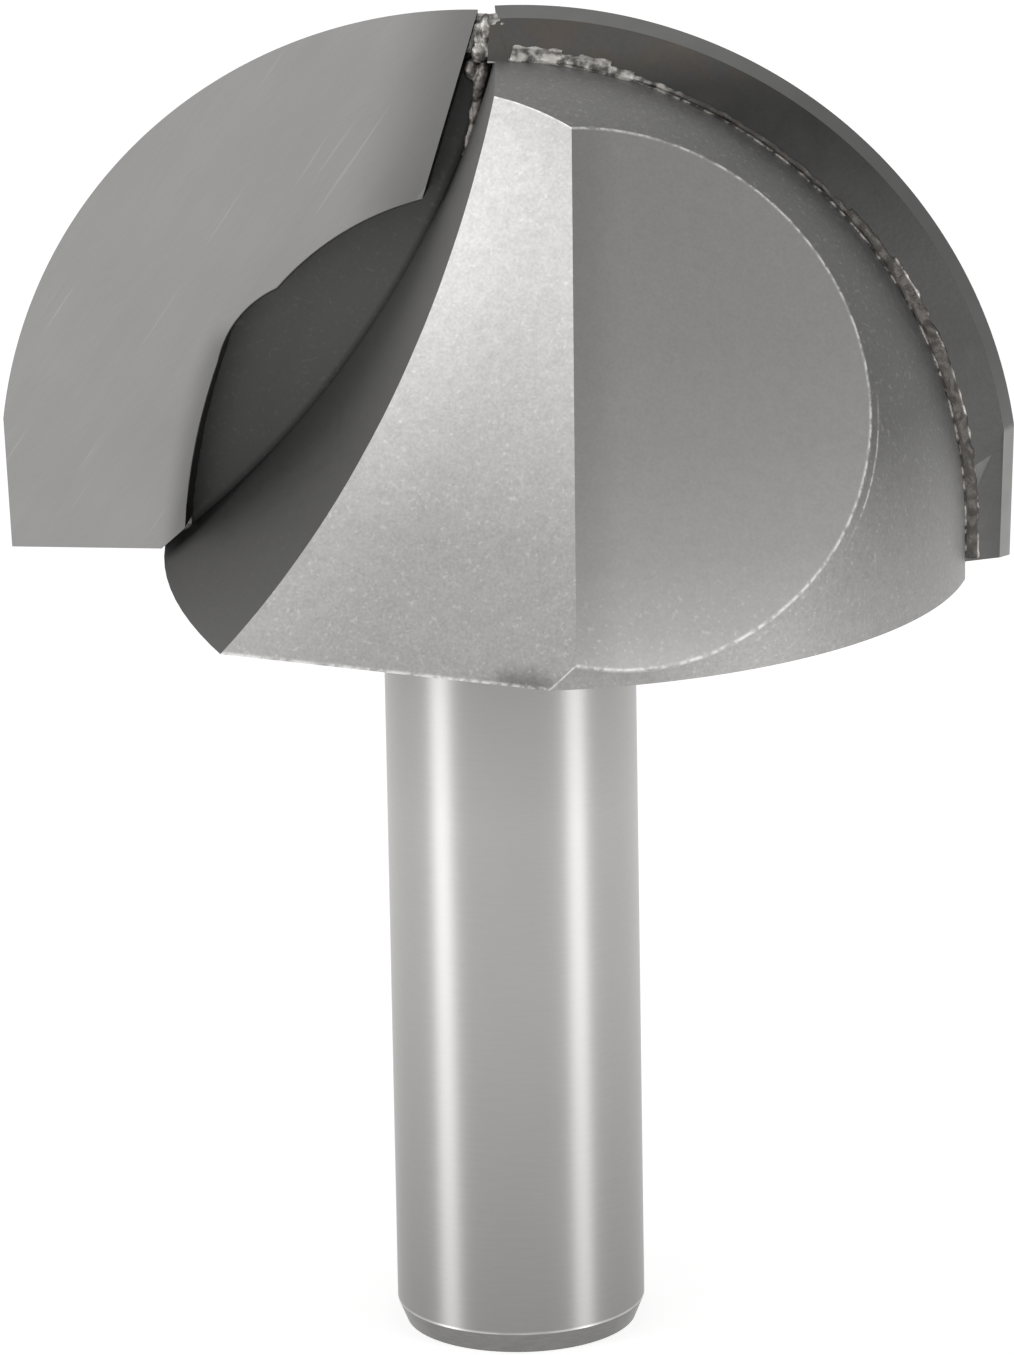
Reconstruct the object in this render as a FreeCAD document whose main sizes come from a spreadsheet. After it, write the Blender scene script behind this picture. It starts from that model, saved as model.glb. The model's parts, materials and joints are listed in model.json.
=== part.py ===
# Core box router bit: a steel body turned in one piece with its shank, and two carbide inserts brazed to it.
# Millimetres. Z runs up from the centre of the shank's end to the nose. The cutting edges lie along X:
# the first insert stands at +X and cuts towards +Y, and the second is the same after half a turn about Z.
import FreeCAD, Part
import math
import os
import re
import Sketcher

# Driving sizes. A plain number is a size that can be set by itself, and a text is worked out from them.
SIZES = [
    ("shank_radius", 6.35, "half-inch shank"),
    ("shank_bevel_height", 1.1, "bevel at the shank's end, along the axis"),
    ("shank_bevel_width", 0.45, "the same bevel, across the axis"),
    ("neck_radius", 0.8, "round between the shank and the underside of the head"),
    ("base_height", 40.2, "underside of the head"),
    ("body_side_height", 3.0, "straight side of the head, below the dome"),
    ("cutting_radius", 25.4, "two-inch cutting diameter"),
    ("edge_standout", 2.2, "how far the cutting edge stands out from the dome, at the side"),
    ("edge_arc_inset", 1.0, "how much smaller the edge's arc is than the cutting radius"),
    ("edge_arc_rise", 3.99, "centre of that arc, above the underside of the head"),
    ("edge_straight", 6.7, "straight part of the cutting edge, at the side"),
    ("edge_taper", 0.23, "how far the straight part draws in towards its lower end"),
    ("edge_lead", 0.6, "rake faces, ahead of the plane through the axis"),
    ("insert_thickness", 2.45, "carbide plate"),
    ("insert_rise", 0.55, "lower end of the inserts, above the underside of the head"),
    ("insert_end_clearance", 7.0, "degrees, relief of the lower end"),
    ("land_depth", 1.0, "first relief of the edge, back from the rake face"),
    ("land_drop", 0.45, "how far that relief falls inward"),
    ("braze_gap", 0.15, "filler between plate and seat"),
    ("braze_bead", 0.1, "how far plate back and filler stand out from the dome"),
    ("nose_gap", 0.66, "slot between the two inserts, at the nose"),
    ("nose_shift", 0.63, "middle of that slot past the axis, so that the first insert cuts at the centre"),
    ("nose_bead_drop", 0.15, "braze in that slot, below the tips"),
    ("heel_offset", 3.95, "lower end of the plate's straight inner edge, from the axis"),
    ("heel_drop", 7.5, "the same point, below the top of the dome"),
    ("elbow_offset", 11.4, "corner between the two hollows of the inner edge, from the axis"),
    ("elbow_drop", 12.25, "the same corner, below the top of the dome"),
    ("upper_hollow_radius", 15.0, "hollow of the inner edge, heel to elbow"),
    ("lower_hollow_radius", 22.7, "hollow of the inner edge, elbow to ankle"),
    ("ankle_rise", 1.1, "height of the clipped lower corner of the plate"),
    ("soft_edge_radius", 0.85, "round on the rake face along the upper hollow"),
    ("nose_web", 0.64, "steel left between the flutes at the crown, at the depth of the seats"),
    ("seat_width", 5.43, "seat of an insert, at the underside of the head"),
    ("wheel_radius", 49.61, "flute's grinding wheel, where it grinds the seat"),
    ("wheel_rim_lean", 3.84, "degrees, rim of the wheel beside the seat, off square"),
    ("wheel_profile_radius", 82.4, "rounding of the wheel's rim, seen in section"),
    ("wheel_clearance", 0.35, "clipped corner of the plate to the flute's wall"),
    ("ridge_azimuth", 5.73, "degrees, ridge between the relief flats, turned from the -Y side"),
    ("ridge_tilt", 31.75, "degrees, how far the ridge leans in towards the nose"),
    ("ridge_offset", 3.6, "ridge, sideways from the axis"),
    ("ridge_distance", 18.52, "ridge, from the centre of the dome"),
    ("trailing_flat_turn", 15.0, "degrees, relief flat behind the insert, off the ridge's own plane"),
    ("leading_flat_turn", 20.17, "degrees, relief flat beside the flute, off the ridge's own plane"),
    ("dome_radius", "cutting_radius - edge_standout", "turned dome of the head"),
    ("dome_centre", "base_height + body_side_height", "centre of the dome"),
    ("dome_top", "dome_centre + dome_radius", "crown of the dome"),
    ("insert_bottom", "base_height + insert_rise", "lower end of the rake face"),
    ("edge_corner", "insert_bottom + edge_straight", "where the edge's arc meets its straight part"),
    ("edge_arc_radius", "cutting_radius - edge_arc_inset", "round part of the cutting edge"),
    ("edge_centre", "base_height + edge_arc_rise", "centre of the edge's arc"),
    ("edge_centre_offset", "cutting_radius - sqrt(edge_arc_radius^2 - (edge_corner - edge_centre)^2)",
     "the same centre, from the axis"),
    ("tip_height", "edge_centre + edge_arc_radius", "top of the rake faces"),
    ("crossing_tip", "nose_gap / 2 - nose_shift", "inner end of the first insert's edge, from the axis"),
    ("stopped_tip", "nose_gap / 2 + nose_shift", "inner end of the second insert's edge, from the axis"),
    ("heel_height", "dome_top - heel_drop", "lower end of the straight inner edge"),
    ("elbow_height", "dome_top - elbow_drop", "corner of the inner edge"),
    ("ankle_height", "insert_bottom + ankle_rise", "top of the clipped corner"),
    ("hollow_chord", "sqrt((elbow_offset - heel_offset)^2 + (elbow_drop - heel_drop)^2)",
     "upper hollow, straight from end to end"),
    ("hollow_reach", "sqrt(upper_hollow_radius^2 - hollow_chord^2 / 4)",
     "upper hollow's centre to the middle of that line"),
    ("hollow_offset",
     "(heel_offset + elbow_offset) / 2 - hollow_reach * (elbow_drop - heel_drop) / hollow_chord",
     "the same centre, from the axis"),
    ("hollow_centre",
     "(heel_height + elbow_height) / 2 - hollow_reach * (elbow_offset - heel_offset) / hollow_chord",
     "the same centre, height"),
    ("back_depth", "insert_thickness - edge_lead", "backs of the plates, behind the plane through the axis"),
    ("seat_depth", "back_depth + braze_gap", "seats, behind the plane through the axis"),
    ("back_radius", "sqrt(dome_radius^2 - back_depth^2) + braze_bead", "outline of the plate's back"),
    ("flute_fall", "dome_top - base_height", "flute's wall at the depth of the seats, from the crown down"),
    ("flute_run", "dome_radius - seat_width - nose_web / 2", "the same wall, from the nose outward"),
    ("flute_chord", "sqrt(flute_fall^2 + flute_run^2)", "straight line between the ends of that wall"),
    ("wheel_reach", "sqrt(wheel_radius^2 - flute_chord^2 / 4)", "wheel's axis to the middle of that line"),
    ("wheel_height", "(base_height + dome_top) / 2 + wheel_reach * flute_run / flute_chord",
     "wheel's axis, height"),
    ("wheel_offset", "(nose_web + flute_run + 2 * wheel_reach * flute_fall / flute_chord) / 2",
     "wheel's axis, from the bit's axis"),
    ("plate_clip_radius", "wheel_radius - wheel_clearance", "clipped corner, about the wheel's axis"),
    ("cut_reach", "2 * dome_radius", "length past the head that a cut runs"),
]
NAMES = {name for name, value, note in SIZES}
INSERTS = 2
HALF_TURN = 360.0 / INSERTS


def bound(text):
    """An expression on the sheet's cells, from a text that uses their names alone."""
    def cell(found):
        return "sizes." + found.group() if found.group() in NAMES else found.group()
    return re.sub(r"[a-z_]+", cell, text)


def write_sheet(doc):
    sheet = doc.addObject("Spreadsheet::Sheet", "sizes")
    for row, (name, value, note) in enumerate(SIZES, start=1):
        sheet.set(f"A{row}", name)
        sheet.set(f"B{row}", f"={value}" if isinstance(value, str) else str(value))
        sheet.set(f"C{row}", note)
        sheet.setAlias(f"B{row}", name)
    doc.recompute()
    return sheet


def number(sheet, text):
    """The value of a text of cell names, as a plain number."""
    value = sheet.evalExpression(text)
    return float(getattr(value, "Value", value))


class Outline:
    """A closed outline in a sketch. Its corners are placed by texts, and each text is bound to the sheet."""

    def __init__(self, sheet, body, name, plane, **offset):
        self.sheet = sheet
        self.sketch = body.newObject("Sketcher::SketchObject", name)
        origin_plane = next(item for item in body.Origin.OriginFeatures if item.Role == plane)
        self.sketch.AttachmentSupport = [(origin_plane, "")]
        self.sketch.MapMode = "FlatFace"
        for path, text in offset.items():
            self.sketch.setExpression("AttachmentOffset." + path.replace("_", "."), bound(text))
        self.corners = {}
        self.ends = {}

    def corner(self, name, across, along, held="xy"):
        """Names a corner. Only its directions in held are bound, and the rest is a first guess."""
        self.corners[name] = (across, along, held)

    def point(self, across, along):
        return FreeCAD.Vector(number(self.sheet, across), number(self.sheet, along), 0)

    def hold(self, kind, text, *place):
        """Adds a distance, radius or angle and binds it to a text."""
        value = number(self.sheet, text)
        if kind == "Angle":
            value = math.radians(value)
        index = self.sketch.addConstraint(Sketcher.Constraint(kind, *place, value))
        self.sketch.setExpression(f"Constraints[{index}]", bound(text))

    def join(self, name, edge, end):
        """Ties one end of an edge to a corner, and places the corner when it is met first."""
        if name in self.ends:
            self.sketch.addConstraint(Sketcher.Constraint("Coincident", *self.ends[name], edge, end))
            return
        self.ends[name] = (edge, end)
        across, along, held = self.corners[name]
        for letter, text, kind, axis in (("x", across, "DistanceX", -2), ("y", along, "DistanceY", -1)):
            if letter not in held:
                continue
            if text == "0":
                self.sketch.addConstraint(Sketcher.Constraint("PointOnObject", edge, end, axis))
            else:
                self.hold(kind, text, -1, 1, edge, end)

    def line(self, start, stop, construction=False):
        first, last = (self.point(*self.corners[name][:2]) for name in (start, stop))
        edge = self.sketch.addGeometry(Part.LineSegment(first, last), construction)
        self.join(start, edge, 1)
        self.join(stop, edge, 2)
        return edge

    def arc(self, start, stop, centre, radius):
        """An arc run counter-clockwise from start to stop, about a first guess of its centre."""
        middle = self.point(*centre)
        angles = []
        for name in (start, stop):
            spoke = self.point(*self.corners[name][:2]) - middle
            angles.append(math.atan2(spoke.y, spoke.x))
        size = number(self.sheet, radius)
        circle = Part.Circle(middle, FreeCAD.Vector(0, 0, 1), size)
        edge = self.sketch.addGeometry(Part.ArcOfCircle(circle, *angles), False)
        self.join(start, edge, 1)
        self.join(stop, edge, 2)
        self.hold("Radius", radius, edge)
        return edge

    def hold_centre(self, edge, across, along):
        for text, kind, axis in ((across, "DistanceX", -2), (along, "DistanceY", -1)):
            if text == "0":
                self.sketch.addConstraint(Sketcher.Constraint("PointOnObject", edge, 3, axis))
            else:
                self.hold(kind, text, -1, 1, edge, 3)


def origin_axis(body, role):
    return next(item for item in body.Origin.OriginFeatures if item.Role == role)


def blank_outline(sheet, body):
    """Half section of the turned blank: shank, underside, straight side and dome."""
    half = Outline(sheet, body, "blank_outline", "XZ_Plane")
    half.corner("foot", "0", "0")
    half.corner("end", "shank_radius - shank_bevel_width", "0")
    half.corner("bevel", "shank_radius", "shank_bevel_height")
    half.corner("neck", "shank_radius", "base_height - neck_radius")
    half.corner("underside", "shank_radius + neck_radius", "base_height")
    half.corner("rim", "dome_radius", "base_height")
    half.corner("shoulder", "dome_radius", "dome_centre")
    half.corner("crown", "0", "dome_top")
    for start, stop in (("foot", "end"), ("end", "bevel"), ("bevel", "neck")):
        half.line(start, stop)
    half.arc("underside", "neck", ("shank_radius + neck_radius", "base_height - neck_radius"), "neck_radius")
    half.line("underside", "rim")
    half.line("rim", "shoulder")
    half.arc("shoulder", "crown", ("0", "dome_centre"), "dome_radius")
    half.line("crown", "foot")
    return half.sketch


def wheel_outline(sheet, body):
    """Half section of the wheel that grinds a flute. Its flat side leaves the seat, and its rim the wall."""
    half = Outline(sheet, body, "wheel_outline", "XY_Plane", Base_z="wheel_height")
    across = "wheel_offset - wheel_radius - wheel_profile_radius * cos(wheel_rim_lean)"
    along = "-seat_depth - wheel_profile_radius * sin(wheel_rim_lean)"
    half.corner("hub", "wheel_offset", "-seat_depth")
    half.corner("seat_rim", "wheel_offset - wheel_radius", "-seat_depth")
    half.corner("far_rim",
                f"{across} + sqrt(wheel_profile_radius^2 - (cut_reach - seat_depth - ({along}))^2)",
                "cut_reach - seat_depth")
    half.corner("far_hub", "wheel_offset", "cut_reach - seat_depth")
    half.line("hub", "seat_rim")
    half.arc("seat_rim", "far_rim", (across, along), "wheel_profile_radius")
    half.line("far_rim", "far_hub")
    half.line("far_hub", "hub")
    half.line("hub", "far_hub", construction=True)
    return half.sketch


def relief_outline(sheet, body):
    """Roof shape across the ridge. Everything above its two slopes is ground away along the ridge."""
    roof = Outline(sheet, body, "relief_outline", "XY_Plane", Base_z="dome_centre",
                   Rotation_Yaw="ridge_azimuth", Rotation_Roll="180 - ridge_tilt")
    roof.corner("ridge", "ridge_offset", "ridge_distance")
    roof.corner("trailing_foot", "ridge_offset + cut_reach",
                "ridge_distance - cut_reach * tan(trailing_flat_turn)")
    roof.corner("trailing_top", "ridge_offset + cut_reach", "cut_reach")
    roof.corner("leading_top", "ridge_offset - cut_reach", "cut_reach")
    roof.corner("leading_foot", "ridge_offset - cut_reach",
                "ridge_distance - cut_reach * tan(leading_flat_turn)")
    loop = ["ridge", "trailing_foot", "trailing_top", "leading_top", "leading_foot", "ridge"]
    for start, stop in zip(loop, loop[1:]):
        roof.line(start, stop)
    return roof.sketch


def make_body(doc, sheet):
    """Shank and head: a turned blank, then a flute and a pair of relief flats for each insert."""
    body = doc.addObject("PartDesign::Body", "bit_body")
    blank = body.newObject("PartDesign::Revolution", "blank")
    blank.Profile = blank_outline(sheet, body)
    blank.ReferenceAxis = (origin_axis(body, "Z_Axis"), [""])
    blank.Angle = 360
    doc.recompute()
    wheel = wheel_outline(sheet, body)
    flute = body.newObject("PartDesign::Groove", "flute")
    flute.Profile = wheel
    flute.ReferenceAxis = (wheel, ["Axis0"])
    flute.Angle = 360
    doc.recompute()
    relief = body.newObject("PartDesign::Pocket", "relief_flats")
    relief.Profile = relief_outline(sheet, body)
    relief.SideType = "Symmetric"
    relief.setExpression("Length", bound("4 * cut_reach"))
    doc.recompute()
    pattern = body.newObject("PartDesign::PolarPattern", "each_side")
    pattern.Originals = [flute, relief]
    pattern.Axis = (origin_axis(body, "Z_Axis"), [""])
    pattern.Angle = 360
    pattern.Occurrences = INSERTS
    body.Tip = pattern
    doc.recompute()
    return body


def plate_outline(sheet, body, name, tip, depth, bottom, centre, radius, side):
    """A plate's outline at a depth behind the plane through the axis. Only its outer edge changes."""
    clip = "wheel_offset - sqrt(plate_clip_radius^2 - (wheel_height - ({}))^2)"
    ankle = clip.format("ankle_height")
    plate = Outline(sheet, body, name, "XZ_Plane", Base_z=depth)
    plate.corner("outer", side, bottom)
    plate.corner("shoulder", f"{centre[0]} + sqrt(({radius})^2 - (edge_corner - ({centre[1]}))^2)",
                 "edge_corner", "y")
    plate.corner("tip", tip, f"{centre[1]} + {radius}", "")
    plate.corner("heel", "heel_offset", "heel_height")
    plate.corner("elbow", "elbow_offset", "elbow_height")
    plate.corner("ankle", ankle, "ankle_height")
    plate.corner("toe", clip.format(bottom), bottom)
    plate.line("toe", "outer")
    plate.line("outer", "shoulder")
    edge = plate.arc("shoulder", "tip", centre, radius)
    plate.hold_centre(edge, *centre)
    inner = plate.line("heel", "tip")
    plate.hold("Angle", f"90 deg + atan((heel_offset - {tip}) / (tip_height - heel_height))", inner)
    plate.arc("elbow", "heel", ("hollow_offset", "hollow_centre"), "upper_hollow_radius")
    plate.arc("ankle", "elbow", (f"{ankle} - lower_hollow_radius", "ankle_height"), "lower_hollow_radius")
    plate.arc("ankle", "toe", ("wheel_offset", "wheel_height"), "plate_clip_radius")
    return plate.sketch


def front_outline(sheet, body, tip):
    return plate_outline(sheet, body, "rake_face", tip, "-edge_lead", "insert_bottom",
                         ("edge_centre_offset", "edge_centre"), "edge_arc_radius",
                         "cutting_radius - edge_taper")


def land_outline(sheet, body, tip):
    return plate_outline(sheet, body, "land_outline", tip, "land_depth - edge_lead",
                         "insert_bottom + land_depth * tan(insert_end_clearance)",
                         ("edge_centre_offset", "edge_centre"), "edge_arc_radius - land_drop",
                         "cutting_radius - edge_taper - land_drop")


def back_outline(sheet, body, tip):
    return plate_outline(sheet, body, "back_outline", tip, "back_depth",
                         "insert_bottom + insert_thickness * tan(insert_end_clearance)",
                         ("0", "dome_centre"), "back_radius", "back_radius")


def soft_edge_outline(sheet, body):
    """Section of the round between the rake face and the upper hollow, turned about the hollow's centre."""
    corner = Outline(sheet, body, "soft_edge_outline", "XY_Plane", Base_z="hollow_centre")
    across = "hollow_offset + upper_hollow_radius"
    corner.corner("axis_back", "hollow_offset", "edge_lead - soft_edge_radius")
    corner.corner("axis_front", "hollow_offset", "edge_lead")
    corner.corner("side", across, "edge_lead - soft_edge_radius")
    corner.corner("face", f"{across} + soft_edge_radius", "edge_lead")
    corner.corner("clear_face", f"{across} + soft_edge_radius", "edge_lead + soft_edge_radius")
    corner.corner("clear_corner", f"{across} - soft_edge_radius", "edge_lead + soft_edge_radius")
    corner.corner("clear_side", f"{across} - soft_edge_radius", "edge_lead - soft_edge_radius")
    corner.arc("face", "side", (f"{across} + soft_edge_radius", "edge_lead - soft_edge_radius"),
               "soft_edge_radius")
    loop = ["face", "clear_face", "clear_corner", "clear_side", "side"]
    for start, stop in zip(loop, loop[1:]):
        corner.line(start, stop)
    corner.line("axis_back", "axis_front", construction=True)
    return corner.sketch


def make_insert(doc, sheet, count, tip):
    """Carbide plate: rake face, narrow land, steeper flank down to the dome, and a soft inner edge."""
    body = doc.addObject("PartDesign::Body", f"carbide_insert_{count + 1}")
    sections = [outline(sheet, body, tip) for outline in (front_outline, land_outline, back_outline)]
    plate = body.newObject("PartDesign::AdditiveLoft", "plate")
    plate.Profile = sections[0]
    plate.Sections = sections[1:]
    plate.Ruled = True
    doc.recompute()
    soft_edge = body.newObject("PartDesign::Groove", "soft_edge")
    soft_edge.Profile = soft_edge_outline(sheet, body)
    soft_edge.ReferenceAxis = (soft_edge.Profile[0], ["Axis0"])
    soft_edge.Angle = 360
    doc.recompute()
    body.Placement.Rotation = FreeCAD.Rotation(FreeCAD.Vector(0, 0, 1), count * HALF_TURN)
    return body


def make_seam(doc, sheet, count, tip):
    """Layer of braze filler between a plate's back and its seat."""
    body = doc.addObject("PartDesign::Body", f"braze_seam_{count + 1}")
    layer = body.newObject("PartDesign::Pad", "layer")
    layer.Profile = back_outline(sheet, body, tip)
    layer.setExpression("Length", bound("braze_gap"))
    doc.recompute()
    body.Placement.Rotation = FreeCAD.Rotation(FreeCAD.Vector(0, 0, 1), count * HALF_TURN)
    return body


def make_nose_bead(doc, sheet):
    """Braze that fills the slot between the two tips, from the crown of the body up."""
    body = doc.addObject("PartDesign::Body", "nose_bead")
    slot = Outline(sheet, body, "slot_outline", "XZ_Plane")
    top = "tip_height - nose_bead_drop"
    for place, height in (("foot", "dome_top"), ("top", top)):
        for side, tip in (("1", "crossing_tip"), ("-1", "stopped_tip")):
            lean = f"(heel_offset - {tip}) * (tip_height - ({height})) / (tip_height - heel_height)"
            slot.corner(place + side, f"{side} * ({tip} + {lean})", height)
    loop = ["foot1", "top1", "top-1", "foot-1", "foot1"]
    for start, stop in zip(loop, loop[1:]):
        slot.line(start, stop)
    fill = body.newObject("PartDesign::Pad", "fill")
    fill.Profile = slot.sketch
    fill.SideType = "Symmetric"
    fill.setExpression("Length", bound("2 * edge_lead"))
    doc.recompute()
    return body


def check(doc, pieces):
    """Raises an error if any object failed or any piece isn't one valid solid."""
    for item in doc.Objects:
        if {"Invalid", "Error"} & set(item.State):
            raise RuntimeError(f"{item.Name} failed: {item.State}")
        if item.isDerivedFrom("Sketcher::SketchObject") and not item.FullyConstrained:
            raise RuntimeError(f"{item.Name} isn't fully constrained")
    for piece in pieces:
        if piece.Shape.isNull() or not piece.Shape.isValid() or len(piece.Shape.Solids) != 1:
            raise RuntimeError(f"{piece.Label} isn't one valid solid")


def main():
    doc = FreeCAD.newDocument("core_box_router_bit")
    sheet = write_sheet(doc)
    pieces = [make_body(doc, sheet)]
    for count, tip in enumerate(("crossing_tip", "stopped_tip")):
        pieces.append(make_insert(doc, sheet, count, tip))
        pieces.append(make_seam(doc, sheet, count, tip))
    pieces.append(make_nose_bead(doc, sheet))
    doc.recompute()
    check(doc, pieces)
    os.makedirs("parts", exist_ok=True)
    for piece in pieces:
        piece.Shape.exportStep(f"parts/{piece.Label}.step")
        box = piece.Shape.BoundBox
        print(piece.Label, f"{piece.Shape.Volume:.1f} mm3", f"z {box.ZMin:.2f} to {box.ZMax:.2f}")


main()
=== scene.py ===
# %% [markdown]
# A core box router bit cuts round-bottomed grooves in wood. Its steel body, shank and head together, is
# turned in one piece on a lathe. A grinding wheel then cuts a flute on each side, two flats per side are
# ground off behind the cutting edges, and a carbide plate is brazed into each flute. This file makes each
# piece in that same order, so that every surface gets the shape and the finish that its own machine left
# on it.

# %% Set-up: the measured model and a few tools
import bpy
import json
from math import cos, hypot, pi, radians, sin, sqrt, tan
from mathutils import Matrix, Vector

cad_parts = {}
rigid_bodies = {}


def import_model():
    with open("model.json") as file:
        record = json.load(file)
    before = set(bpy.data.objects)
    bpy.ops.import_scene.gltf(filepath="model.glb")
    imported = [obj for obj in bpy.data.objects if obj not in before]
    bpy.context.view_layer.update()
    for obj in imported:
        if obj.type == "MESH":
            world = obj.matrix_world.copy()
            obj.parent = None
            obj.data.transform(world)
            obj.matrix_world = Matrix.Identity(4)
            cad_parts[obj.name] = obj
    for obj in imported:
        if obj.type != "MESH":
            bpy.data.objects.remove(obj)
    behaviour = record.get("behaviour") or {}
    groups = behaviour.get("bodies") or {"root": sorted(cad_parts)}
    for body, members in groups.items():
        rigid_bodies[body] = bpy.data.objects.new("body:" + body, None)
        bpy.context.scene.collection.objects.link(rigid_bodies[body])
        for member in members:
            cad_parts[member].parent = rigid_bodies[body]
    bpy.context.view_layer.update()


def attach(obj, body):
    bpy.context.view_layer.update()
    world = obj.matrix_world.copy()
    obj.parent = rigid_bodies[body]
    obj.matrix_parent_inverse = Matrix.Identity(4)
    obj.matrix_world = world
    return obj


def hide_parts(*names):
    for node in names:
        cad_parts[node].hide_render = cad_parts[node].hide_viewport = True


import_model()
MM = 0.001
UP = Vector((0, 0, 1))
HALF_TURN = Matrix.Rotation(pi, 4, "Z")

# %% [markdown]
# The sizes are those of the measured model, in millimetres, so every new piece lands where the plain one
# is. Z runs up the bit from the shank's end. The cutting edges lie along X. The first plate is at +X and
# cuts towards +Y, and the second one, on the left in the picture, is the same after half a turn. A bevel
# is given by its inset and its height. The grinding wheel is given by its radius, its lean and the radius
# of its rounded rim.

# %% Sizes of the body
SHANK_RADIUS = 6.35
SHANK_BEVEL = (0.45, 1.1)
NECK_RADIUS = 0.8
BASE_HEIGHT = 40.2
DOME_CENTRE = 43.2
DOME_RADIUS = 23.2
SEAT_DEPTH = 2.0
NOSE_WEB = 0.64
SEAT_WIDTH = 5.43
WHEEL_RADIUS = 49.61
WHEEL_LEAN = radians(3.84)
WHEEL_PROFILE = 82.4
print("dome's top, mm:", DOME_CENTRE + DOME_RADIUS)

# %% [markdown]
# The inner side of a plate runs straight from the tip down to the heel, then along three hollows by way
# of the elbow and the shin to the ankle, and straight again to the toe. Each of these points is a place
# across and a place up. The land and the flank behind the cutting edge are given by how far they go back
# and drop.

# %% Sizes of the carbide plates
EDGE_LEAD = 0.6
PLATE_BACK = 1.85
LAND_DEPTH = 1.0
LAND_DROP = 0.45
EDGE_RADIUS = 24.4
EDGE_CENTRE = (1.218, 44.19)
EDGE_CORNER = (25.4, 47.45)
EDGE_FOOT = (25.17, 40.75)
BACK_RADIUS = 23.226
END_CLEARANCE = radians(7)
TIPS = (-0.3, 0.96)
TIP_HEIGHT = 68.59
HEEL = (3.95, 58.9)
ELBOW = (11.4, 54.15)
UPPER_HOLLOW = 15.0
ANKLE = (16.31, 41.85)
TOE = (17.53, 40.75)
SOFT_EDGE = 0.85
ELBOW_ROUND = (8.99, 49.28, 5.5)
SHIN = (13.77, 52.0)
SHIN_HOLLOW = 35.0
INSIDE = (18, 47, 1)
print("cutting edge, mm:", EDGE_CORNER[0], "out and", TIP_HEIGHT, "up")

# %% [markdown]
# Modelling goes as it does by hand. A primitive is added at its size and place, and is shaped in edit
# mode. `begin` clears the selection first, because an operator acts on everything that is selected.
# `ring` pulls the selected outline along and resizes it, which is how a turned shape grows from a disc.
# `finish_mesh` is the last step for each piece: it joins doubled points and sets the shading.

# %% Tools for modelling
def begin(kind, name, **size):
    """Adds a primitive on its own and opens it in edit mode."""
    if bpy.context.object and bpy.context.object.mode != "OBJECT":
        bpy.ops.object.mode_set(mode="OBJECT")
    bpy.ops.object.select_all(action="DESELECT")
    getattr(bpy.ops.mesh, f"primitive_{kind}_add")(**size)
    bpy.context.object.name = name
    bpy.context.object.data.name = name
    bpy.ops.object.mode_set(mode="EDIT")
    return bpy.context.object


def ring(move, scale, about):
    """Extrudes the selected face, then resizes it about a point."""
    bpy.ops.mesh.extrude_region_move(TRANSFORM_OT_translate={"value": move})
    bpy.ops.transform.resize(value=scale, center_override=about)


def end_edit():
    """Leaves edit mode with the object's place and turn inside its mesh."""
    bpy.ops.object.mode_set(mode="OBJECT")
    bpy.ops.object.transform_apply(location=True, rotation=True, scale=True)


def finish_mesh(piece, angle):
    """Joins stray points, points the faces outwards and shades smoothly up to an angle."""
    bpy.ops.object.select_all(action="DESELECT")
    bpy.context.view_layer.objects.active = piece
    piece.select_set(True)
    bpy.ops.object.mode_set(mode="EDIT")
    bpy.ops.mesh.select_all(action="SELECT")
    bpy.ops.mesh.remove_doubles(threshold=0.002 * MM)
    bpy.ops.mesh.normals_make_consistent(inside=False)
    bpy.ops.object.mode_set(mode="OBJECT")
    bpy.ops.object.shade_smooth_by_angle(angle=radians(angle))


# %% [markdown]
# The body starts as a disc at the shank's end. Each step of the outline below pulls the disc up and
# resizes it: bevel, shank, the small round under the head, the flat underside, the straight side and then
# the dome.

# %% Turn the blank
outline = [
    (SHANK_RADIUS - SHANK_BEVEL[0], 0),
    (SHANK_RADIUS, SHANK_BEVEL[1]),
    (SHANK_RADIUS, BASE_HEIGHT - NECK_RADIUS),
]
for step in range(1, 5):
    turned = radians(step * 22.5)
    wide = SHANK_RADIUS + NECK_RADIUS * (1 - cos(turned))
    outline.append((wide, BASE_HEIGHT - NECK_RADIUS * (1 - sin(turned))))
outline += [(DOME_RADIUS, BASE_HEIGHT), (DOME_RADIUS, DOME_CENTRE)]
for step in range(1, 36):
    turned = radians(step * 2.5)
    outline.append((DOME_RADIUS * cos(turned), DOME_CENTRE + DOME_RADIUS * sin(turned)))

body = begin("circle", "ground_body", vertices=192, radius=outline[0][0] * MM, fill_type="NGON")
for (radius, height), (next_radius, next_height) in zip(outline, outline[1:]):
    grow = next_radius / radius
    ring((0, 0, (next_height - height) * MM), (grow, grow, 1), (0, 0, 0))
last_rise = (DOME_CENTRE + DOME_RADIUS - outline[-1][1]) * MM
bpy.ops.mesh.extrude_region_move(TRANSFORM_OT_translate={"value": (0, 0, last_rise)})
bpy.ops.mesh.merge(type="CENTER")
end_edit()
finish_mesh(body, 30)
print("turned blank:", len(body.data.polygons), "faces")

# %% [markdown]
# A flute is what a big thin wheel leaves. Its flat side grinds the seat of the carbide plate, and its rim
# grinds the curved wall beside it. The wheel's axis is found from two points that the wall has to pass:
# the thin web at the nose and the seat's inner corner at the underside. `carve` then takes the wheel's
# shape out of the body with a Boolean modifier.

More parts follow.
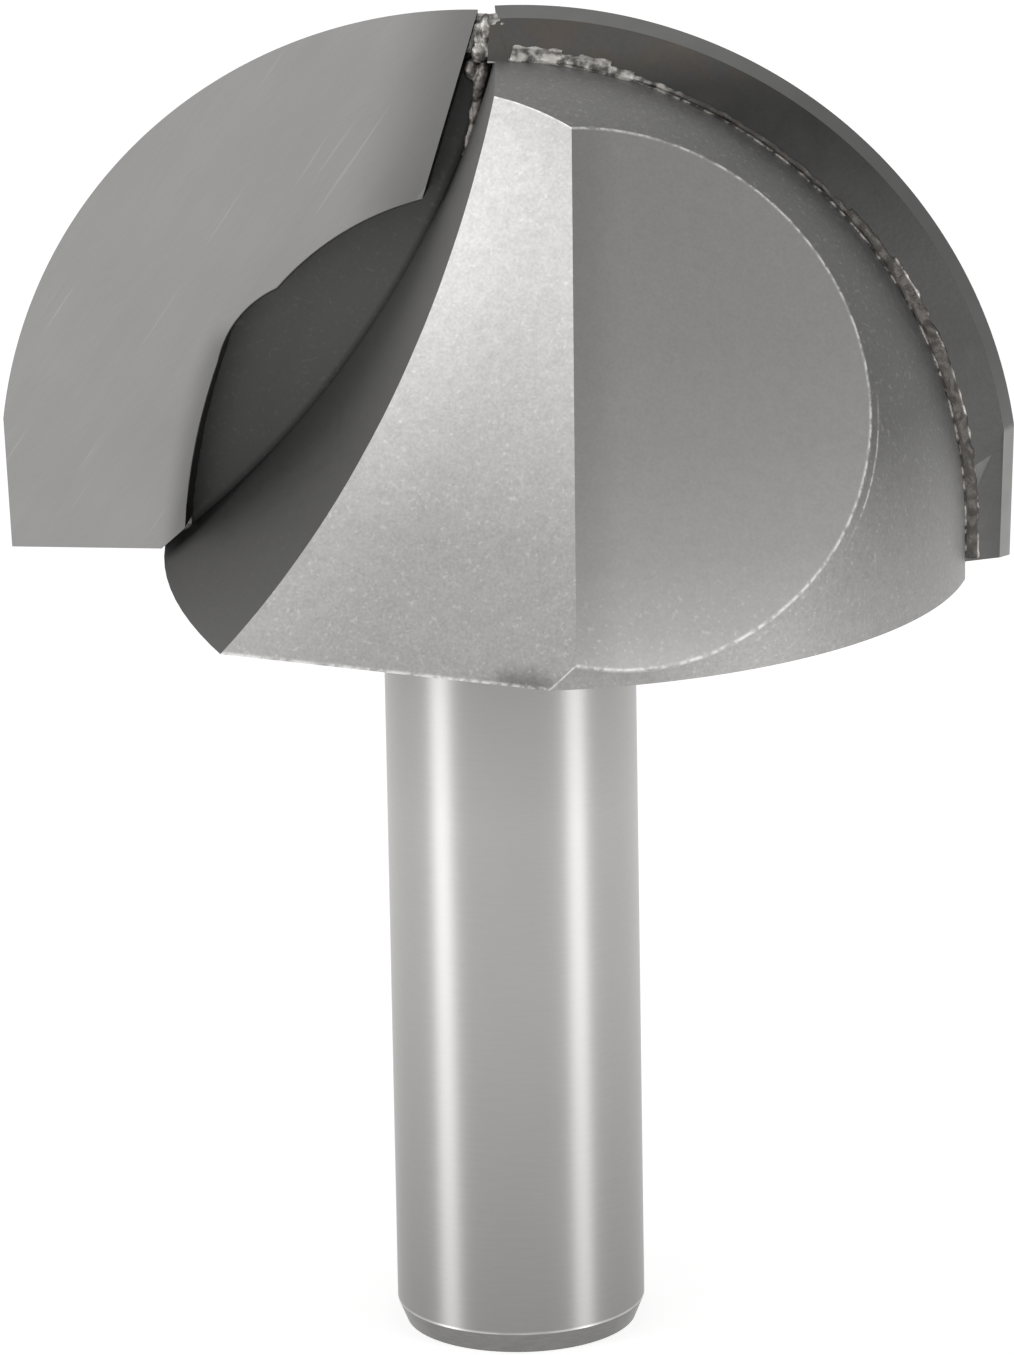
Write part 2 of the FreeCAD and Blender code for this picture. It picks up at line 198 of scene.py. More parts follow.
# %% A tool that carves
def carve(piece, cutter):
    """Takes one closed shape out of another and throws the cutter away."""
    bpy.ops.object.select_all(action="DESELECT")
    bpy.context.view_layer.objects.active = piece
    piece.select_set(True)
    cut = piece.modifiers.new("cut", "BOOLEAN")
    cut.operation = "DIFFERENCE"
    cut.solver = "EXACT"
    cut.object = cutter
    bpy.ops.object.modifier_apply(modifier=cut.name)
    bpy.data.objects.remove(cutter)


# %% Place the wheel
fall = DOME_CENTRE + DOME_RADIUS - BASE_HEIGHT
run = DOME_RADIUS - SEAT_WIDTH - NOSE_WEB / 2
chord = hypot(fall, run)
reach = sqrt(WHEEL_RADIUS ** 2 - chord ** 2 / 4)
WHEEL_AXIS = ((NOSE_WEB + run + 2 * reach * fall / chord) / 2, BASE_HEIGHT + fall / 2 + reach * run / chord)


def rim(height):
    """The wheel's radius at a height above its flat side."""
    start = WHEEL_PROFILE * sin(WHEEL_LEAN)
    return WHEEL_RADIUS + WHEEL_PROFILE * cos(WHEEL_LEAN) - sqrt(WHEEL_PROFILE ** 2 - (height + start) ** 2)


print("wheel's axis, mm:", [round(value, 2) for value in WHEEL_AXIS])

# %% Grind the two flutes
for side in (1, -1):
    centre = Vector((side * WHEEL_AXIS[0], -side * SEAT_DEPTH, WHEEL_AXIS[1])) * MM
    wheel = begin("circle", "wheel", vertices=720, radius=WHEEL_RADIUS * MM, fill_type="NGON",
                  location=centre, rotation=(side * -pi / 2, 0, 0))
    for step in range(13):
        grow = rim(2 * step + 2) / rim(2 * step)
        ring((0, side * 2 * MM, 0), (grow, 1, grow), centre)
    end_edit()
    finish_mesh(wheel, 30)
    carve(body, wheel)
print("body with flutes:", len(body.data.polygons), "faces")

# %% [markdown]
# Behind each cutting edge the dome is ground back by two flats that meet in a ridge. The ridge leans in
# towards the nose. A flat is one plane cut, so two cuts for each side do it. `slice_off` cuts with a
# plane and closes the cut, as a grinder does.

# %% A tool that slices
def slice_off(point, normal):
    """Cuts away everything on the side that the normal points to, and closes the cut."""
    bpy.ops.mesh.select_all(action="SELECT")
    bpy.ops.mesh.bisect(plane_co=point, plane_no=normal, use_fill=True, clear_outer=True,
                        threshold=0.001 * MM)


# %% Grind the flats
RIDGE_AZIMUTH = radians(5.73)
RIDGE_TILT = radians(31.75)
across = Vector((cos(RIDGE_AZIMUTH), sin(RIDGE_AZIMUTH), 0))
out = Vector((sin(RIDGE_AZIMUTH) * cos(RIDGE_TILT), -cos(RIDGE_AZIMUTH) * cos(RIDGE_TILT), sin(RIDGE_TILT)))
RIDGE_ASIDE = 3.6
RIDGE_REACH = 18.52
ridge = UP * DOME_CENTRE + RIDGE_ASIDE * across + RIDGE_REACH * out
TRAILING_TURN = radians(15.0)
LEADING_TURN = radians(20.17)
TRAILING_FLAT = out * cos(TRAILING_TURN) + across * sin(TRAILING_TURN)
LEADING_FLAT = out * cos(LEADING_TURN) - across * sin(LEADING_TURN)

bpy.ops.object.mode_set(mode="EDIT")
for turn in (Matrix.Identity(4), HALF_TURN):
    for normal in (TRAILING_FLAT, LEADING_FLAT):
        slice_off(turn @ (ridge * MM), turn @ normal)
end_edit()
finish_mesh(body, 22)
print("ground body:", len(body.data.polygons), "faces")

# %% [markdown]
# A carbide plate is flat in front. Its outer rim falls away behind the cutting edge in two steps, a
# narrow land and then a steeper flank down to the dome. A disc pulled back and shrunk twice has that rim.
# Plane cuts then give the straight part of the edge, the lower end and the inner side, and three
# cylinders cut the hollows.

# %% Tools for a plate
def in_plate(across, height, depth):
    """A point of the first plate, from its depth behind the rake face."""
    return Vector((across, EDGE_LEAD - depth, height)) * MM


def cut_through(first, second, third, inside):
    """Cuts by the plane through three points and keeps the side that a fourth point is on."""
    normal = (second - first).cross(third - first).normalized()
    slice_off(first, -normal if normal.dot(inside - first) > 0 else normal)


def arc_centre(top, bottom, radius):
    """The centre of an arc from one point down to another, on the side of the axis."""
    half = (Vector(bottom) - Vector(top)) / 2
    aside = Vector((half.y, -half.x)).normalized()
    return Vector(top) + half + aside * sqrt(radius ** 2 - half.length ** 2)


def hollow_out(plate, across, height, radius, ceiling):
    """Cuts a hollow with a cylinder that ends at a ceiling."""
    cylinder = begin("cylinder", "hollow", vertices=192, radius=radius * MM, depth=8 * MM,
                     location=in_plate(across, height, 1), rotation=(pi / 2, 0, 0))
    slice_off(in_plate(0, ceiling, 0), UP)
    end_edit()
    carve(plate, cylinder)


def hollow_inner_side(plate):
    """Three hollows down the inner side: a long one, a tight one at the elbow and a long one to the ankle."""
    hollow_out(plate, *arc_centre(SHIN, ANKLE, SHIN_HOLLOW), SHIN_HOLLOW, SHIN[1])
    hollow_out(plate, *ELBOW_ROUND, TIP_HEIGHT)
    hollow_out(plate, *arc_centre(HEEL, ELBOW, UPPER_HOLLOW), UPPER_HOLLOW, TIP_HEIGHT)


# %% Make the carbide plates
def carbide_plate(name, tip):
    """A plate in the first one's place, with its tip this far across."""
    plate = begin("circle", name, vertices=360, radius=EDGE_RADIUS * MM, fill_type="NGON",
                  location=in_plate(*EDGE_CENTRE, 0), rotation=(pi / 2, 0, 0))
    centre = in_plate(*EDGE_CENTRE, 0)
    grow = (EDGE_RADIUS - LAND_DROP) / EDGE_RADIUS
    ring((0, -LAND_DEPTH * MM, 0), (grow, 1, grow), centre)
    grow = BACK_RADIUS / (EDGE_RADIUS - LAND_DROP)
    ring((0, (LAND_DEPTH - EDGE_LEAD - PLATE_BACK) * MM, 0), (grow, 1, grow), centre)
    bpy.ops.transform.translate(value=(-EDGE_CENTRE[0] * MM, 0, (DOME_CENTRE - EDGE_CENTRE[1]) * MM))
    middle = in_plate(*INSIDE)
    thickness = EDGE_LEAD + PLATE_BACK
    corner, foot = in_plate(*EDGE_CORNER, 0), in_plate(*EDGE_FOOT, 0)
    land_corner = in_plate(EDGE_CORNER[0] - LAND_DROP, EDGE_CORNER[1], LAND_DEPTH)
    land_foot = in_plate(EDGE_FOOT[0] - LAND_DROP, EDGE_FOOT[1], LAND_DEPTH)
    cut_through(corner, foot, land_corner, middle)
    cut_through(land_corner, land_foot, in_plate(BACK_RADIUS, DOME_CENTRE, thickness), middle)
    slice_off(in_plate(0, TOE[1], 0), Vector((0, -sin(END_CLEARANCE), -cos(END_CLEARANCE))))
    cut_through(in_plate(*HEEL, 0), in_plate(tip, TIP_HEIGHT, 0), in_plate(*HEEL, 1), middle)
    cut_through(in_plate(*ANKLE, 0), in_plate(*TOE, 0), in_plate(*ANKLE, 1), middle)
    end_edit()
    hollow_inner_side(plate)
    return plate


plates = [carbide_plate(f"carbide_plate_{count + 1}", tip) for count, tip in enumerate(TIPS)]
print("plates:", [len(plate.data.polygons) for plate in plates])

# %% [markdown]
# The long inner edge of the rake face is rounded by hand on a soft wheel, most at the heel and elbow and
# less and less further down. A Bevel modifier takes its width at each edge from a weight, so the round
# can run out.

# %% Round the inner edge
ROUND_START = 42
ROUND_FULL = 47
CLOSE = 0.02


def off_arc(point, across, height, radius):
    """How far a point is from a hollow's wall."""
    return abs(hypot(point.x - across, point.z - height) - radius)


def roundness(point):
    """How much of the round an edge of the rake face gets: 0 away from the inner side, 1 at its top."""
    walls = (
        (*arc_centre(HEEL, ELBOW, UPPER_HOLLOW), UPPER_HOLLOW),
        ELBOW_ROUND,
        (*arc_centre(SHIN, ANKLE, SHIN_HOLLOW), SHIN_HOLLOW),
    )
    on_edge = point.y > EDGE_LEAD - CLOSE / 2 and min(off_arc(point, *wall) for wall in walls) < CLOSE
    full = (point.z - ROUND_START) / (ROUND_FULL - ROUND_START)
    return min(max(full, 0), 1) if on_edge else 0


for plate in plates:
    weights = plate.data.attributes.new("bevel_weight_edge", "FLOAT", "EDGE")
    corners = [roundness(corner.co / MM) for corner in plate.data.vertices]
    for edge in plate.data.edges:
        ends = [corners[index] for index in edge.vertices]
        weights.data[edge.index].value = sum(ends) / 2 if min(ends) > 0 else 0
    bpy.ops.object.select_all(action="DESELECT")
    bpy.context.view_layer.objects.active = plate
    plate.select_set(True)
    round_off = plate.modifiers.new("round_off", "BEVEL")
    round_off.limit_method = "WEIGHT"
    round_off.width = SOFT_EDGE * MM
    round_off.segments = 6
    bpy.ops.object.modifier_apply(modifier=round_off.name)
    finish_mesh(plate, 24)
print("rounded plates:", [len(plate.data.polygons) for plate in plates])

# %% [markdown]
# The second plate differs from the first one only at its tip, so it is made the same way and turned
# round. The turn goes into its mesh, because every finished piece keeps its object at the origin.

# %% Turn the second plate round
plates[1].data.transform(HALF_TURN)
print("second plate's tip, x in mm:", round(max(corner.co.x for corner in plates[1].data.vertices) / MM, 2))

# %% [markdown]
# Filler metal holds a plate in its seat. It is a thin layer behind the plate that swells into a fillet
# along the outer joint. The fillet is a flat oval spun round the dome's centre, and a noise texture makes
# it as lumpy as metal that ran and froze. A voxel remesh first makes the overlapping ovals of a fillet
# one skin.

# %% Tools for molten metal
def lumpy(piece, voxel, lump, depth, detail):
    """Turns closed shapes into one skin and pushes it in and out by a cloud pattern of a given grain."""
    bpy.ops.object.select_all(action="DESELECT")
    bpy.context.view_layer.objects.active = piece
    piece.select_set(True)
    skin = piece.modifiers.new("skin", "REMESH")
    skin.mode = "VOXEL"
    skin.voxel_size = voxel * MM
    bpy.ops.object.modifier_apply(modifier=skin.name)
    clouds = bpy.data.textures.new("clouds", "CLOUDS")
    clouds.noise_scale = lump * MM
    clouds.noise_depth = detail
    swell = piece.modifiers.new("swell", "DISPLACE")
    swell.texture = clouds
    swell.strength = depth * MM
    bpy.ops.object.modifier_apply(modifier=swell.name)
    bpy.ops.object.shade_smooth()


def join(first, *others):
    """Makes one object of several."""
    bpy.ops.object.select_all(action="DESELECT")
    for piece in (first, *others):
        piece.select_set(True)
    bpy.context.view_layer.objects.active = first
    bpy.ops.object.join()
    return first


# %% [markdown]
# The joint is wide and stained low down, thin half way up and swollen again near the nose. So a fillet is
# made of several ovals: each has half its width, half its height and the two angles, in degrees above the
# dome's centre, between which it is spun.

# %% Tools for the filler
BRAZE_GAP = 0.15
FILLET_LEAN = radians(36)
SPIN_STEPS = 1.7
FILLETS = (
    (0.17, 0.1, 0, 88),
    (0.42, 0.13, 0, 34),
    (0.3, 0.12, 30, 42),
    (0.26, 0.12, 73, 77),
    (0.42, 0.16, 76, 80),
    (0.34, 0.15, 79, 83),
    (0.46, 0.17, 82, 88),
)


def select_faces(piece, test):
    """Selects the faces whose points all pass a test, and opens edit mode."""
    bpy.ops.object.select_all(action="DESELECT")
    bpy.context.view_layer.objects.active = piece
    piece.select_set(True)
    bpy.ops.object.mode_set(mode="EDIT")
    bpy.ops.mesh.select_mode(type="FACE")
    bpy.ops.mesh.select_all(action="DESELECT")
    bpy.ops.object.mode_set(mode="OBJECT")
    for face in piece.data.polygons:
        face.select = all(test(piece.data.vertices[index].co / MM) for index in face.vertices)
    bpy.ops.object.mode_set(mode="EDIT")


def braze_layer(name, tip):
    """The thin layer behind a plate, with the plate's own inner side."""
    depth = EDGE_LEAD + PLATE_BACK
    layer = begin("circle", name, vertices=180, radius=BACK_RADIUS * MM, fill_type="NGON",
                  location=in_plate(0, DOME_CENTRE, depth), rotation=(pi / 2, 0, 0))
    bpy.ops.mesh.extrude_region_move(TRANSFORM_OT_translate={"value": (0, -BRAZE_GAP * MM, 0)})
    slice_off(in_plate(0, TOE[1] + depth * tan(END_CLEARANCE), 0), -UP)
    cut_through(in_plate(*HEEL, 0), in_plate(tip, TIP_HEIGHT, 0), in_plate(*HEEL, 1), in_plate(*INSIDE))
    end_edit()
    hollow_inner_side(layer)
    return layer


def braze_fillet(wide, high, low, top):
    """A flat oval, leaning as the plate's flank does, spun along the outer joint between two angles."""
    centre = in_plate(0, DOME_CENTRE, EDGE_LEAD + PLATE_BACK)
    start = centre + Vector((BACK_RADIUS + 0.45 * wide, 0.3 * wide, 0)) * MM
    fillet = begin("circle", "fillet", vertices=12, radius=wide * MM, fill_type="NGON", location=start)
    bpy.ops.transform.resize(value=(1, high / wide, 1))
    bpy.ops.transform.rotate(value=-FILLET_LEAN, orient_axis="Z", center_override=start)
    bpy.ops.transform.rotate(value=radians(low), orient_axis="Y", center_override=centre)
    bpy.ops.mesh.spin(steps=round(SPIN_STEPS * (top - low)), angle=radians(top - low),
                      center=centre, axis=(0, 1, 0))
    end_edit()
    if low == 0:
        select_faces(fillet, lambda point: abs(point.z - DOME_CENTRE) < 0.01)
        bpy.ops.mesh.extrude_region_move(TRANSFORM_OT_translate={"value": (0, 0, -2 * MM)})
        end_edit()
    finish_mesh(fillet, 60)
    return fillet


# %% Braze the plates in
braze = []
for count, tip in enumerate(TIPS):
    fillet = join(*[braze_fillet(*sizes) for sizes in FILLETS])
    lumpy(fillet, 0.055, 0.6, 0.2, count)
    braze.append(join(braze_layer(f"braze_{count + 1}", tip), fillet))
braze[1].data.transform(HALF_TURN)
for piece in braze:
    low, high = piece.bound_box[0], piece.bound_box[6]
    print(piece.name, len(piece.data.polygons), [round(v / MM, 2) for v in (*low, *high)])

# %% [markdown]
# At the nose the two plates leave a slot that filler closes. Beside each plate it was ground flush with
# the flank, so blocks are cut by the same slopes. Frozen drops lie in the flute below. The block in the
# slot and the drops are remeshed into one lump, and the two ground blocks stay plain.

# %% Tools for the nose
def block(low, high):
    """A box between two corners, in millimetres."""
    low, high = Vector(low), Vector(high)
    box = begin("cube", "block", size=MM, location=(low + high) / 2 * MM)
    bpy.ops.transform.resize(value=high - low)
    return box


def drop(place, size, lean):
    """A ball of melt: its centre and half sizes in millimetres, and its lean towards the flute in degrees."""
    ball = begin("uv_sphere", "drop", segments=24, ring_count=16, radius=MM, location=Vector(place) * MM)
    bpy.ops.transform.resize(value=size)
    bpy.ops.transform.rotate(value=radians(lean), orient_axis="Y", center_override=Vector(place) * MM)
    end_edit()
    return ball


# %% [markdown]
# Each block below is a box between two corners, with the sides on which it has to be flush: 1 for the
# first plate's side and -1 for the second's. Each drop is a centre, its half sizes and its lean.

# %% Sizes of the nose
NOSE_BLOCKS = (
    ((-1.15, -0.62, 66.2), (0.75, 0.5, 68.5), (1, -1)),
    ((-0.38, -1.95, 66.2), (0.75, -0.5, 68.5), (1,)),
    ((-1.75, 0.4, 66.2), (-0.36, 1.95, 68.5), (-1,)),
)
NOSE_DROPS = (
    ((-0.62, -0.35, 67.4), (0.3, 0.42, 0.95), 0),
    ((-0.95, -0.3, 66.4), (0.45, 0.5, 0.55), 0),
    ((-1.38, 0.0, 65.45), (0.46, 0.5, 0.62), 10),
    ((-0.95, -0.15, 64.9), (0.36, 0.5, 1.1), -14),
    ((-1.2, 0.1, 63.6), (0.32, 0.4, 1.2), -14),
    ((-1.5, 0.2, 62.2), (0.28, 0.36, 1.1), -16),
    ((-1.85, 0.3, 61.0), (0.2, 0.3, 0.9), -18),
)
SLOT = 0.03

# %% Fill the nose
def cut_flush(side):
    """Cuts a block by the slopes of the land and the flank on one side."""
    top_edge = Vector((0, side * EDGE_LEAD, TIP_HEIGHT - SLOT)) * MM
    land_edge = Vector((0, side * (EDGE_LEAD - LAND_DEPTH), TIP_HEIGHT - LAND_DROP - SLOT)) * MM
    back_edge = Vector((0, -side * PLATE_BACK, DOME_CENTRE + BACK_RADIUS - SLOT)) * MM
    sideways = Vector((MM, 0, 0))
    middle = Vector((0, 0, NOSE_BLOCKS[0][0][2])) * MM
    cut_through(top_edge, land_edge, top_edge + sideways, middle)
    cut_through(land_edge, back_edge, land_edge + sideways, middle)


blocks = []
for low, high, sides in NOSE_BLOCKS:
    box = block(low, high)
    for side in sides:
        cut_flush(side)
    end_edit()
    blocks.append(box)
nose = join(blocks[0], *[drop(*sizes) for sizes in NOSE_DROPS])
nose.name = "nose_solder"
lumpy(nose, 0.05, 0.45, 0.14, 3)
join(nose, *blocks[1:])
print("nose solder:", len(nose.data.polygons))

# %% [markdown]
# Every surface of a bit carries the marks of the tool that made it. A finish below is a node material
# that paints those marks, and painted light and shade, from the place on the piece. `Field` lets the node
# maths read like ordinary sums.

# %% Shader maths
class Field:
    """A number that varies over a surface. An expression on fields adds the Math nodes for it."""

    def __init__(self, finish, socket):
        self.finish = finish
        self.socket = socket

    def apply(self, operation, *values):
        node = self.finish.add("Math", {"operation": operation}, dict(enumerate(values)))
        return Field(self.finish, node.outputs[0])

    def __add__(self, other):
        return self.apply("ADD", self, other)

    def __sub__(self, other):
        return self.apply("SUBTRACT", self, other)

    def __rsub__(self, other):
        return self.apply("SUBTRACT", other, self)

    def __mul__(self, other):
        return self.apply("MULTIPLY", self, other)

    def __truediv__(self, other):
        return self.apply("DIVIDE", self, other)

    def __pow__(self, other):
        return self.apply("POWER", self, other)

    __radd__ = __add__
    __rmul__ = __mul__

    def size(self):
        return self.apply("ABSOLUTE", self)

    def sign(self):
        return self.apply("SIGN", self)

    def largest(self, other):
        return self.apply("MAXIMUM", self, other)

    def step(self, low, high, before=0.0, after=1.0):
        """Runs smoothly from one value to another as the field goes from low to high."""
        sockets = {"Value": self, "From Min": low, "From Max": high, "To Min": before, "To Max": after}
        node = self.finish.add("MapRange", {"interpolation_type": "SMOOTHSTEP"}, sockets)
        return Field(self.finish, node.outputs[0])


# %% [markdown]
# Bare metal shows what it mirrors, here a white surround, so a finish says how much of that light it
# gives back. `tone` turns a screen level into that strength. `Finish` starts a metallic material, keeps
# its coordinates in millimetres at hand, and has the few nodes that every finish below is made of.

# %% Start of a finish
def tone(level):
    """The strength of light behind a screen level from 0 to 255."""
    return ((level / 255 + 0.055) / 1.055) ** 2.4


class Finish:
    """A material, built node by node."""

    def __init__(self, name):
        self.material = bpy.data.materials.new(name)
        self.material.use_nodes = True
        self.shader = self.material.node_tree.nodes["Principled BSDF"]
        self.shader.inputs["Metallic"].default_value = 1
        self.place = self.add("TexCoord").outputs["Object"]
        split = self.add("SeparateXYZ", sockets={0: self.place})
        self.x, self.y, self.z = (Field(self, output) * (1 / MM) for output in split.outputs)

    def add(self, kind, settings=None, sockets=None):
        """Adds any node: its settings first, then the values or links of its sockets."""
        node = self.material.node_tree.nodes.new("ShaderNode" + kind)
        for name, value in (settings or {}).items():
            setattr(node, name, value)
        for name, value in (sockets or {}).items():
            self.feed(node.inputs[name], value)
        return node

    def feed(self, socket, value):
        """Links a field or a socket to an input, or sets the input to a plain value."""
        source = value.socket if isinstance(value, Field) else value
        if isinstance(source, bpy.types.NodeSocket):
            self.material.node_tree.links.new(source, socket)
        else:
            socket.default_value = source

    def noise(self, grain, detail=2.0, stretch=(1, 1, 1), turn=(0, 0, 0)):
        """A noise from 0 to 1 with its grain in millimetres, perhaps stretched along an axis and turned."""
        place = self.add("Mapping", {"vector_type": "TEXTURE"},
                         {"Vector": self.place, "Rotation": turn, "Scale": stretch})
        sockets = {"Vector": place.outputs[0], "Scale": 1 / (grain * MM), "Detail": detail}
        node = self.add("TexNoise", sockets=sockets)
        return Field(self, node.outputs[0])

    def graded(self, field, *stops):
        """A tone that follows a field through stops, each a place and a screen level from 0 to 255."""
        first, last = stops[0][0], stops[-1][0]
        node = self.add("ValToRGB", sockets={0: (field - first) / (last - first)})
        ramp = node.color_ramp
        while len(ramp.elements) < len(stops):
            ramp.elements.new(0.5)
        for element, (place, level) in zip(ramp.elements, stops):
            element.position = (place - first) / (last - first)
            element.color = (*[tone(level)] * 3, 1)
        return Field(self, node.outputs["Color"])

    def blend(self, factor, first, second, kind="MIX"):
        """A colour between two others, or their product where the kind is MULTIPLY."""
        node = self.add("Mix", {"data_type": "RGBA", "blend_type": kind}, {0: factor, 6: first, 7: second})
        return node.outputs[2]

    def paint(self, strength, tint):
        """Colours the surface: black where the strength is 0 and the tint where it is 1."""
        self.feed(self.shader.inputs["Base Color"], self.blend(strength, (0, 0, 0, 1), (*tint, 1)))

    def stain(self, strength, amount, clean, stained):
        """Paints with one tint where the amount is 0 and with another where it is 1."""
        tint = self.blend(amount, (*clean, 1), (*stained, 1))
        self.feed(self.shader.inputs["Base Color"], self.blend(1.0, tint, strength, "MULTIPLY"))

    def roughen(self, roughness):
        self.feed(self.shader.inputs["Roughness"], roughness)

    def emboss(self, height, depth):
        """Bumps the surface by a height from 0 to 1, with the depth in millimetres."""
        bump = self.add("Bump", sockets={"Height": height, "Distance": depth * MM})
        self.feed(self.shader.inputs["Normal"], bump.outputs[0])

    def in_dome(self):
        """Depth below the turned dome and its straight side, in millimetres."""
        rise = (self.z - DOME_CENTRE).largest(0)
        return DOME_RADIUS - (self.x * self.x + self.y * self.y + rise * rise) ** 0.5

    def below(self, normal):
        """Depth below the flat with this normal, or below its twin after half a turn."""
        reach = normal.dot(ridge - UP * DOME_CENTRE)
        level = self.x * normal.x + self.y * normal.y
        return reach - level.size() - (self.z - DOME_CENTRE) * normal.z


# %% [markdown]
# The shank is ground between centres, so its marks run round it. Such marks spread a highlight up and
# down, which is why two soft lamps show in it as two long stripes. The anisotropic values of the shader
# do that. Most finishes below get painted shade by height: a painted reflection of the floor low down and
# of the surround higher up.

# %% Finish of the shank
STEEL_TINT = (1.0, 0.988, 0.973)


def shank_finish():
    steel = Finish("ground_shank")
    marks = steel.noise(0.16, 3, stretch=(9, 9, 1))
    cloud = steel.noise(3.0, 2, stretch=(1, 1, 3))
    steel.shader.inputs["Anisotropic"].default_value = 0.9
    steel.shader.inputs["Anisotropic Rotation"].default_value = 0.25
    # Painted shade by height: darker near the floor and just under the head.
    shade = steel.graded(steel.z, (1, 150), (10, 164), (20, 178), (28, 184), (34, 176), (40, 160))
    # A painted highlight along the edge between the shank and its bevel.
    edge = (steel.z - SHANK_BEVEL[1]).size().step(0.04, 0.16, 0.5, 0)
    steel.paint(shade * (0.9 + 0.14 * marks + 0.06 * cloud) + edge * marks, STEEL_TINT)
    steel.roughen(0.4 + 0.1 * marks)
    steel.emboss(marks, 0.003)
    return steel


def bevel_finish():
    steel = Finish("ground_bevel")
    marks = steel.noise(0.12, 3, stretch=(6, 6, 1))
    steel.paint(tone(128) * (0.8 + 0.4 * marks), STEEL_TINT)
    steel.roughen(0.4)
    steel.emboss(marks, 0.004)
    return steel


# %% [markdown]
# The head is ground on a coarser wheel and left grainy, with painted sparks of light in the grain. Burrs
# stand where two ground surfaces meet, and their bright, broken lines are painted highlights. The depth below
# the neighbouring surface is nothing on that line, so it tells where to paint those highlights.

# %% Marks of the head, with painted sparks and highlights
PATCH_ASIDE = 3.4
PATCH_SQUASH = 2.4


def grain(steel):
    """The grain of the head, and the painted sparks of light in it."""
    fine = steel.noise(0.17, 3)
    coarse = steel.noise(0.6, 3)
    spark = steel.noise(0.26, 2).step(0.58, 0.75)
    return fine, coarse, spark


def burr_highlight(steel, depth, width):
    """A painted highlight: a bright broken line along the burrs, where a depth is nothing."""
    torn = steel.noise(0.4, 3)
    line = (depth + 0.07 * torn).step(width * 0.35, width, 1, 0)
    return line * torn.step(0.35, 0.62, 0.1, 1)


def dark_patch(steel):
    """A darker patch at the foot of the ridge."""
    aside = steel.x * steel.y.sign() + PATCH_ASIDE
    above = (steel.z - BASE_HEIGHT) * PATCH_SQUASH
    reach = (aside * aside + above * above) ** 0.5 + 1.6 * steel.noise(0.5, 3)
    return reach.step(1.4, 3.6, 0.55, 1)


def beside_flute(steel):
    """Distance from the rim of the wheel that ground the flute beside the leading flat."""
    aside = WHEEL_AXIS[0] - steel.x * steel.y.sign()
    up = steel.z - WHEEL_AXIS[1]
    inwards = steel.y.size() + SEAT_DEPTH
    swell = inwards * (sin(WHEEL_LEAN) + inwards / (2 * WHEEL_PROFILE))
    return (aside * aside + up * up) ** 0.5 - WHEEL_RADIUS - swell


# %% [markdown]
# The dome was turned, and the two flats of each side were ground on different passes. The leading flat,
# next to the flute, faces the light, and painted light makes it the brightest surface of the bit. The
# trailing flat has a finer grain and a darker painted shade.

# %% Finishes of the head
def dome_finish():
    steel = Finish("turned_dome")
    fine, coarse, spark = grain(steel)
    # Painted shade by height: darkest half way up, with a painted reflection of the floor low down.
    stops = ((40.2, 150), (43, 140), (46, 124), (50, 99), (54, 97), (62, 102), (66.4, 126))
    shade = steel.graded(steel.z, *stops)
    depth = steel.below(TRAILING_FLAT)
    # Painted highlights along the burrs beside the trailing flat.
    second = burr_highlight(steel, (depth - 0.34).size(), 0.1) * steel.z.step(45, 47) * steel.z.step(50, 52, 1, 0)
    line = burr_highlight(steel, depth.size(), 0.11).largest(second)
    # The painted shade on the grain, with the painted sparks.
    painted_shading = shade * (0.68 + 0.4 * fine + 0.24 * coarse) + 0.06 * spark
    steel.paint(painted_shading + line * 0.28, STEEL_TINT)
    steel.roughen(0.42 + 0.12 * coarse)
    steel.emboss(fine, 0.006)
    return steel


def trailing_finish():
    steel = Finish("trailing_flat")
    fine, coarse, spark = grain(steel)
    # Painted shade by height, lighter low down with a painted reflection of the floor, and more painted shade
    # beside the ridge.
    shade = steel.graded(steel.z, (40.2, 184), (42.3, 166), (45.5, 150), (50, 138), (54.5, 131), (62, 126))
    beside_ridge = steel.below(LEADING_FLAT).step(0.1, 1.6, 0.86, 1)
    # Painted highlights along the burrs at the dome and at the base's rim.
    line = burr_highlight(steel, steel.in_dome(), 0.13)
    rim = burr_highlight(steel, steel.z - BASE_HEIGHT, 0.2)
    low = steel.z.step(41, 47, 1, 0)
    # The painted shade on the grain, with the painted sparks low down.
    painted_shading = shade * beside_ridge * dark_patch(steel) * (0.84 + 0.2 * fine + 0.12 * coarse) + spark * low * 0.1
    steel.paint(painted_shading + line.largest(rim) * 0.35, STEEL_TINT)
    steel.roughen(0.45 + 0.1 * coarse)
    steel.emboss(fine, 0.005)
    return steel


def leading_finish():
    steel = Finish("leading_flat")
    fine, coarse, spark = grain(steel)
    # Painted light by height, brightest high up, with a painted highlight beside the flute's rim.
    stops = ((40.2, 166), (46, 172), (50, 190), (53.5, 205), (58, 222), (62, 226), (66, 213))
    shade = steel.graded(steel.z, *stops)
    # Painted highlights along the burrs at the dome and at the base's rim.
    line = burr_highlight(steel, steel.in_dome(), 0.13)
    rim = burr_highlight(steel, steel.z - BASE_HEIGHT, 0.22)
    bright = beside_flute(steel).step(0.3, 4, 1.14, 1) * dark_patch(steel)
    # The painted light on the grain, with the painted sparks.
    painted_shading = shade * bright * (0.7 + 0.4 * fine + 0.2 * coarse) + 0.1 * spark
    steel.paint(painted_shading * 0.82 + line.largest(rim) * 0.3, STEEL_TINT)
    steel.roughen(0.42 + 0.15 * coarse)
    steel.emboss(fine, 0.008)
    return steel


# %% [markdown]
# The flutes are darker: partly the tint that the heat of brazing leaves on bare steel, as nothing is
# ground there afterwards, and partly painted shade of the hollow, by height. The crease between the flat
# floor and the curved wall gets more painted shade.

